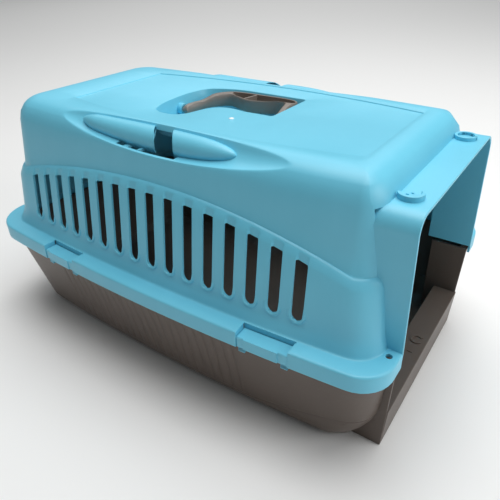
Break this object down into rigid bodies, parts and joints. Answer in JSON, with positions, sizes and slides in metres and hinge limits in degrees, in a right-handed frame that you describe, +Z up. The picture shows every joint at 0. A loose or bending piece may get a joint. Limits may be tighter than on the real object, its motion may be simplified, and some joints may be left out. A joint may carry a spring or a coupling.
{
  "type": "plastic pet carrier",
  "caption": "Moulded pet keeper: vented upper shell on a tub, rim clips, a carry handle folded in the roof and an open doorway.",
  "frame": {"origin": "centre of the footprint of the whole keeper, on the surface that it stands on", "axes": "+X towards the doorway, +Y towards the left side as the pet looks out, +Z up"},
  "size_m": [0.49, 0.312, 0.25],
  "materials": {
    "aqua_plastic": "satin",
    "brown_plastic": "satin",
    "taupe_plastic": "satin"
  },
  "bodies": {
    "shell": {"upper_shell": "aqua_plastic", "tub": "brown_plastic"},
    "handle": {"carry_handle": "taupe_plastic"},
    "clip_rear_right": {"clip_rear_right": "aqua_plastic"},
    "clip_rear_left": {"clip_rear_left": "aqua_plastic"},
    "clip_front_right": {"clip_front_right": "aqua_plastic"},
    "clip_front_left": {"clip_front_left": "aqua_plastic"}
  },
  "joints": [
    {"name": "handle_fold", "type": "hinge", "parent": "shell", "child": "handle", "pos_m": [0.006, -0.003, 0.236], "axis": [1, 0, 0], "range_deg": [0, 95]},
    {"name": "rear_right_clip_open", "type": "hinge", "parent": "shell", "child": "clip_rear_right", "pos_m": [-0.11051, -0.14255, 0.1062], "axis": [-0.999, 0.0443, 0], "range_deg": [0, 90]},
    {"name": "rear_left_clip_open", "type": "hinge", "parent": "shell", "child": "clip_rear_left", "pos_m": [-0.11051, 0.14255, 0.1062], "axis": [0.999, 0.0443, 0], "range_deg": [0, 90]},
    {"name": "front_right_clip_open", "type": "hinge", "parent": "shell", "child": "clip_front_right", "pos_m": [0.14436, -0.14081, 0.1062], "axis": [-0.9983, -0.0579, 0], "range_deg": [0, 90]},
    {"name": "front_left_clip_open", "type": "hinge", "parent": "shell", "child": "clip_front_left", "pos_m": [0.14436, 0.14081, 0.1062], "axis": [0.9983, -0.0579, 0], "range_deg": [0, 90]}
  ]
}
